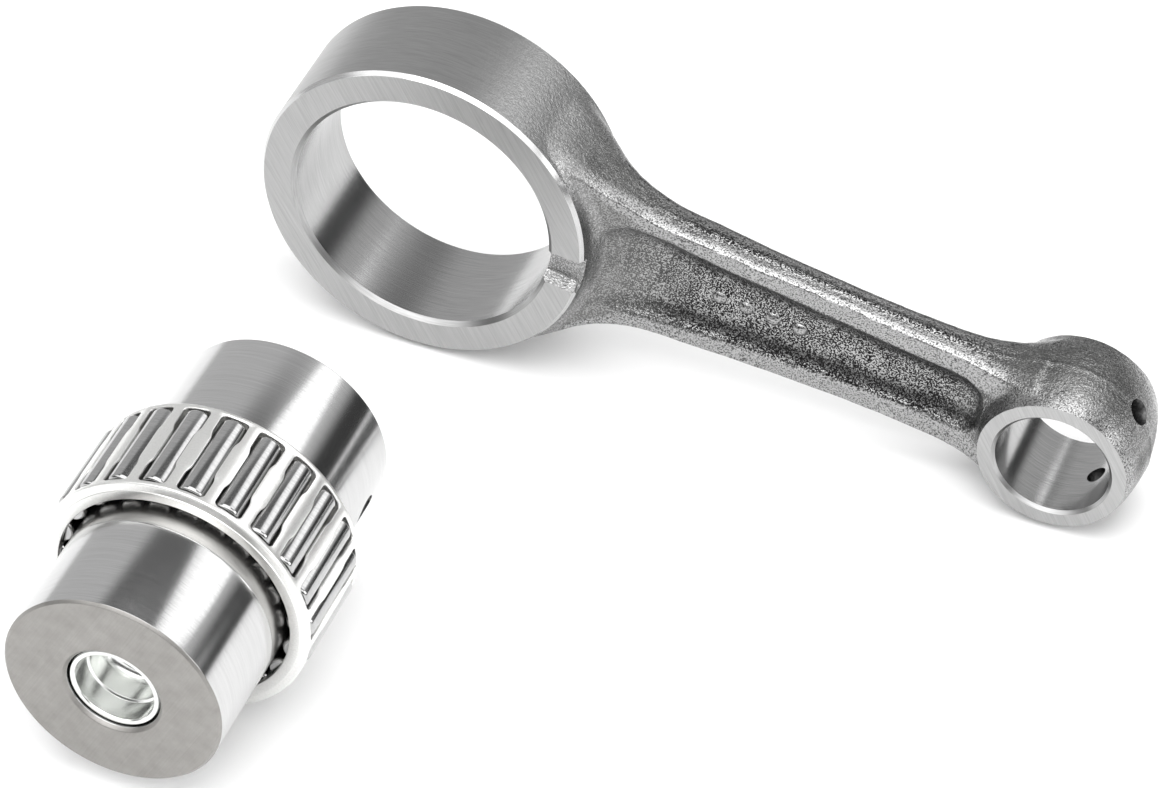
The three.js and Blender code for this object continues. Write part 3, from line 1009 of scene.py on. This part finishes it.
def ground_finish():
    """A surface-ground face: fine parallel lines across it at a slant."""
    finish = Finish("ground_face", 0.3)
    lines = finish.noise(finish.stretched((5.5, 0.3, 0.12), (0, math.radians(38), 0)), 1.0, 4.0, 0.6)
    cloud = finish.noise(finish.own, 0.12, 2.0)
    colour = finish.ramp(lines, [(0.3, 0.34), (0.7, 0.46)])
    colour = finish.mix(finish.maths("MULTIPLY", cloud, 0.3), colour, (0.42, 0.42, 0.415))
    finish.bump(lines, 0.012)
    return finish.done(colour, finish.ramp(lines, [(0.3, 0.4), (0.7, 0.28)]))


def honed_finish():
    """A honed bore: fine lines round it, slightly uneven."""
    finish = Finish("honed_bore", 0.2)
    lines = finish.noise(finish.stretched((0.18, 7.0, 0.18)), 1.0, 4.0, 0.65)
    colour = finish.ramp(lines, [(0.3, 0.36), (0.7, 0.48)])
    finish.bump(lines, 0.008)
    return finish.done(colour, finish.ramp(lines, [(0.3, 0.24), (0.7, 0.16)]))


def drilled_shade_finish():
    """The wall of a drilled hole, coloured near-black as painted shade inside the hole."""
    finish = Finish("drilled_hole_shade", 0.4)
    rings = finish.noise(finish.own, 2.0, 3.0)
    finish.bump(rings, 0.03)
    # Painted shade: a near-black colour for the inside of the hole.
    return finish.done(finish.ramp(rings, [(0.3, 0.05), (0.7, 0.12)]))


def bore_edge_finish():
    """The broken edge of a bore: turned, a little dull."""
    finish = Finish("bore_edge", 0.3)
    lines = finish.noise(finish.stretched((0.3, 9.0, 0.3)), 1.0, 2.0)
    finish.bump(lines, 0.004)
    return finish.done(finish.ramp(lines, [(0.3, 0.34), (0.7, 0.46)]))


def bright_edge_finish():
    """A freshly cut edge."""
    finish = Finish("bright_edge", 0.2)
    lines = finish.noise(finish.stretched((0.3, 9.0, 0.3)), 1.0, 2.0)
    finish.bump(lines, 0.004)
    return finish.done(finish.ramp(lines, [(0.3, 0.5), (0.7, 0.62)]))


def polished_finish():
    """The pin's ground cylinder: fine rings, a faint duller track where the rollers run, and a raised edge to
    the track whose lighter colour is a painted highlight.
    """
    finish = Finish("polished_cylinder", 0.2)
    _, y, _ = finish.split()
    lines = finish.noise(finish.stretched((0.1, 6.5, 0.1)), 1.0, 5.0, 0.7)
    from_middle = finish.maths("DIVIDE", finish.maths("ABSOLUTE", y, 0), 20.0)
    track = finish.ramp(from_middle, [(0.59, 1.0), (0.6, 0.0)])
    from_edge = finish.maths("ABSOLUTE", finish.maths("SUBTRACT", from_middle, 0.598), 0)
    track_edge_and_highlight = finish.ramp(from_edge, [(0.0, 1.0), (0.006, 0.0)])
    colour = finish.ramp(lines, [(0.25, 0.5), (0.75, 0.62)])
    colour = finish.mix(finish.maths("MULTIPLY", track, 0.6), colour, (0.43, 0.42, 0.405))
    # Painted highlight: the track's raised edge is made lighter in colour; its bump is a real ridge.
    colour = finish.mix(finish.maths("MULTIPLY", track_edge_and_highlight, 0.4), colour, (0.75, 0.75, 0.75))
    finish.bump(lines, 0.004)
    finish.bump(track_edge_and_highlight, 0.02)
    polish = finish.ramp(lines, [(0.3, 0.17), (0.7, 0.11)])
    return finish.done(colour, finish.mix(finish.maths("MULTIPLY", track, 0.7), polish, (0.3, 0.3, 0.3)))


def stained_finish():
    """The pin's end face: ground, then stained grey-brown by heat treatment."""
    finish = Finish("stained_face", 0.42)
    cloud = finish.noise(finish.own, 0.35, 5.0, 0.6)
    lines = finish.noise(finish.stretched((4.5, 0.2, 0.1), (0, math.radians(-20), 0)), 1.0, 3.0)
    colour = finish.ramp(cloud, [(0.3, (0.29, 0.28, 0.265)), (0.7, (0.345, 0.335, 0.32))])
    colour = finish.mix(0.12, colour, finish.ramp(lines, [(0.3, 0.2), (0.7, 0.4)]))
    finish.bump(lines, 0.006)
    return finish.done(colour, finish.ramp(cloud, [(0.3, 0.46), (0.7, 0.4)]))


def zinc_finish():
    """Bright zinc plate on a pressing, with a slight cool cast."""
    finish = Finish("zinc_plate", 0.24)
    cloud = finish.noise(finish.own, 0.5, 3.0)
    lines = finish.noise(finish.stretched((0.3, 4.0, 0.3)), 1.0, 3.0)
    finish.bump(lines, 0.004)
    colour = finish.ramp(cloud, [(0.3, (0.78, 0.79, 0.775)), (0.7, (0.82, 0.83, 0.815))])
    return finish.done(colour, finish.ramp(lines, [(0.3, 0.24), (0.7, 0.19)]))


def silver_finish():
    """Satin silver plate with small dents and a fine grain."""
    finish = Finish("silver_plate", 0.34)
    grain = finish.noise(finish.own, 4.0, 4.0, 0.6)
    dents = finish.noise(finish.own, 1.1, 2.0)
    colour = finish.ramp(grain, [(0.3, (0.8, 0.8, 0.785)), (0.7, (0.9, 0.9, 0.885))])
    finish.bump(dents, 0.03)
    finish.bump(grain, 0.012)
    return finish.done(colour, finish.ramp(grain, [(0.3, 0.4), (0.7, 0.3)]))


def roller_finish():
    """Polished bearing steel with faint lines along the grind."""
    finish = Finish("roller_polish", 0.14)
    lines = finish.noise(finish.stretched((0.6, 5.0, 0.6)), 1.0, 3.0)
    finish.bump(lines, 0.003)
    colour = finish.ramp(lines, [(0.3, 0.42), (0.7, 0.5)])
    return finish.done(colour, finish.ramp(lines, [(0.3, 0.2), (0.7, 0.12)]))


def floor_finish():
    """A plain white studio sweep."""
    finish = Finish("studio_floor", 0.9, 0.0)
    finish.shader.inputs["Base Color"].default_value = (0.93, 0.93, 0.93, 1)
    finish.shader.inputs["Emission Color"].default_value = (1, 1, 1, 1)
    finish.shader.inputs["Emission Strength"].default_value = FLOOR_GLOW
    return finish.done()


# ---- Studio ----------------------------------------------------------------

CAMERA_AIM = Vector((-9.2, 23.75, 20.0)) * MM
CAMERA_DISTANCE = 701.8 * MM
CAMERA_AZIMUTH = math.radians(-18.354)
CAMERA_ELEVATION = math.radians(39.327)
CAMERA_ROLL = math.radians(4.485)
CAMERA_LENS = 145.38
WALL_LIGHT = 0.68
CEILING_LIGHT = 0.14
BESIDE_LIGHT = 3.0
BEFORE_LIGHT = 1.5
FLOOR_HALF_SIZE = 3.0
FLOOR_DROP = 0.0003
FLOOR_GLOW = 0.04
OVERHEAD_POSITION = (0.0, -0.3, 1.2)
OVERHEAD_AIM = (0.0, -0.3, 0.0)
OVERHEAD_SIZE = (1.2, 1.6)
OVERHEAD_POWER = 13.5
KEY_POSITION = (0.095, 0.13, 0.225)
KEY_AIM = (-0.0446, -0.0352, 0.022)
KEY_SIZE = (0.17, 0.14)
KEY_POWER = 0.1


def make_camera():
    data = bpy.data.cameras.new("camera")
    data.lens = CAMERA_LENS
    data.sensor_width = 36
    data.clip_start = 0.01
    camera = bpy.data.objects.new("camera", data)
    bpy.context.scene.collection.objects.link(camera)
    level = math.cos(CAMERA_ELEVATION)
    forward = Vector(
        (math.sin(CAMERA_AZIMUTH) * level, math.cos(CAMERA_AZIMUTH) * level, -math.sin(CAMERA_ELEVATION))
    )
    flat_right = forward.cross(Vector((0, 0, 1))).normalized()
    flat_up = flat_right.cross(forward)
    right = flat_right * math.cos(CAMERA_ROLL) + flat_up * math.sin(CAMERA_ROLL)
    up = right.cross(forward)
    turn = Matrix((right, up, -forward)).transposed().to_4x4()
    camera.matrix_world = Matrix.Translation(CAMERA_AIM - forward * CAMERA_DISTANCE) @ turn
    bpy.context.scene.camera = camera


def soft_box(name, position, aim, size, power):
    """A rectangular area light at position, facing aim."""
    data = bpy.data.lights.new(name, "AREA")
    data.shape = "RECTANGLE"
    data.size = size[0]
    data.size_y = size[1]
    data.energy = power
    lamp = bpy.data.objects.new(name, data)
    bpy.context.scene.collection.objects.link(lamp)
    way = Vector(aim) - Vector(position)
    lamp.location = position
    lamp.rotation_euler = way.to_track_quat("-Z", "Y").to_euler()


def make_studio():
    half = FLOOR_HALF_SIZE
    corners = [(-half, -half, 0), (half, -half, 0), (half, half, 0), (-half, half, 0)]
    floor = mesh_object("studio_floor", corners, [(0, 1, 2, 3)])
    floor.location.z = -FLOOR_DROP
    floor.data.materials.append(floor_finish())

    make_sky()
    soft_box("overhead", OVERHEAD_POSITION, OVERHEAD_AIM, OVERHEAD_SIZE, OVERHEAD_POWER)
    soft_box("key", KEY_POSITION, KEY_AIM, KEY_SIZE, KEY_POWER)
    bpy.context.scene.view_settings.view_transform = "Standard"


def make_sky():
    """A plain room: light walls, a dimmer ceiling, dark low bands on the right, in front and straight behind,
    and two bright bands, on the right and in front."""
    world = bpy.data.worlds.new("studio")
    bpy.context.scene.world = world
    world.use_nodes = True
    tree = world.node_tree
    background = tree.nodes["Background"]
    direction = tree.nodes.new("ShaderNodeTexCoord")
    split = tree.nodes.new("ShaderNodeSeparateXYZ")
    tree.links.new(direction.outputs["Generated"], split.inputs["Vector"])

    def ramp(source, stops):
        """Eases source from one range to another, given as (from low, from high, to low, to high)."""
        node = tree.nodes.new("ShaderNodeMapRange")
        node.interpolation_type = "SMOOTHSTEP"
        for socket, value in zip(("From Min", "From Max", "To Min", "To Max"), stops):
            node.inputs[socket].default_value = value
        tree.links.new(source, node.inputs["Value"])
        return node.outputs["Result"]

    def maths(operation, first, second):
        return maths_node(tree, operation, first, second)

    ceiling = ramp(split.outputs["Z"], (0.70, 0.8, WALL_LIGHT, CEILING_LIGHT))
    rightward = ramp(split.outputs["X"], (0.35, 0.62, 0.0, 1.0))
    low = ramp(split.outputs["Z"], (0.24, 0.44, 1.0, 0.0))
    shade = maths("MULTIPLY", maths("MULTIPLY", rightward, low), 0.92)
    forward = ramp(split.outputs["Y"], (-0.12, -0.4, 0.0, 0.9))
    not_overhead = ramp(split.outputs["Z"], (0.34, 0.46, 1.0, 0.0))
    shade = maths("MAXIMUM", shade, maths("MULTIPLY", forward, not_overhead))
    straight_back = ramp(split.outputs["Y"], (0.8, 0.93, 0.0, 0.75))
    near_level = ramp(split.outputs["Z"], (0.3, 0.5, 1.0, 0.0))
    shade = maths("MAXIMUM", shade, maths("MULTIPLY", straight_back, near_level))
    far_right = ramp(split.outputs["X"], (0.8, 0.9, 0.0, BESIDE_LIGHT))
    beside = maths("MULTIPLY", far_right, ramp(split.outputs["Z"], (0.1, 0.22, 0.0, 1.0)))
    in_front = ramp(split.outputs["Y"], (-0.14, -0.3, 0.0, BEFORE_LIGHT))
    before = maths("MULTIPLY", in_front, ramp(split.outputs["Z"], (0.38, 0.5, 0.0, 1.0)))
    lamps = maths("MAXIMUM", beside, before)
    light = maths("ADD", maths("MULTIPLY", ceiling, maths("SUBTRACT", 1.0, shade)), lamps)
    tree.links.new(light, background.inputs["Strength"])
    background.inputs["Color"].default_value = (1, 1, 1, 1)


# ---- Assembly --------------------------------------------------------------


def main():
    make_camera()
    make_studio()
    edge = bright_edge_finish()
    honed = honed_finish()
    drilled = drilled_shade_finish()
    make_rod([forged_finish(), ground_finish(), honed, edge, bore_edge_finish(), drilled])
    stained = stained_finish()
    make_pin([polished_finish(), stained, stained, honed, drilled])
    zinc = zinc_finish()
    make_plug("plug_near", -1, zinc, "near_cup_plug")
    make_plug("plug_far", 1, zinc, "far_cup_plug")
    make_cage(silver_finish())
    roller_steel = roller_finish()
    for index in range(ROLLERS):
        make_roller(index, roller_steel)


main()
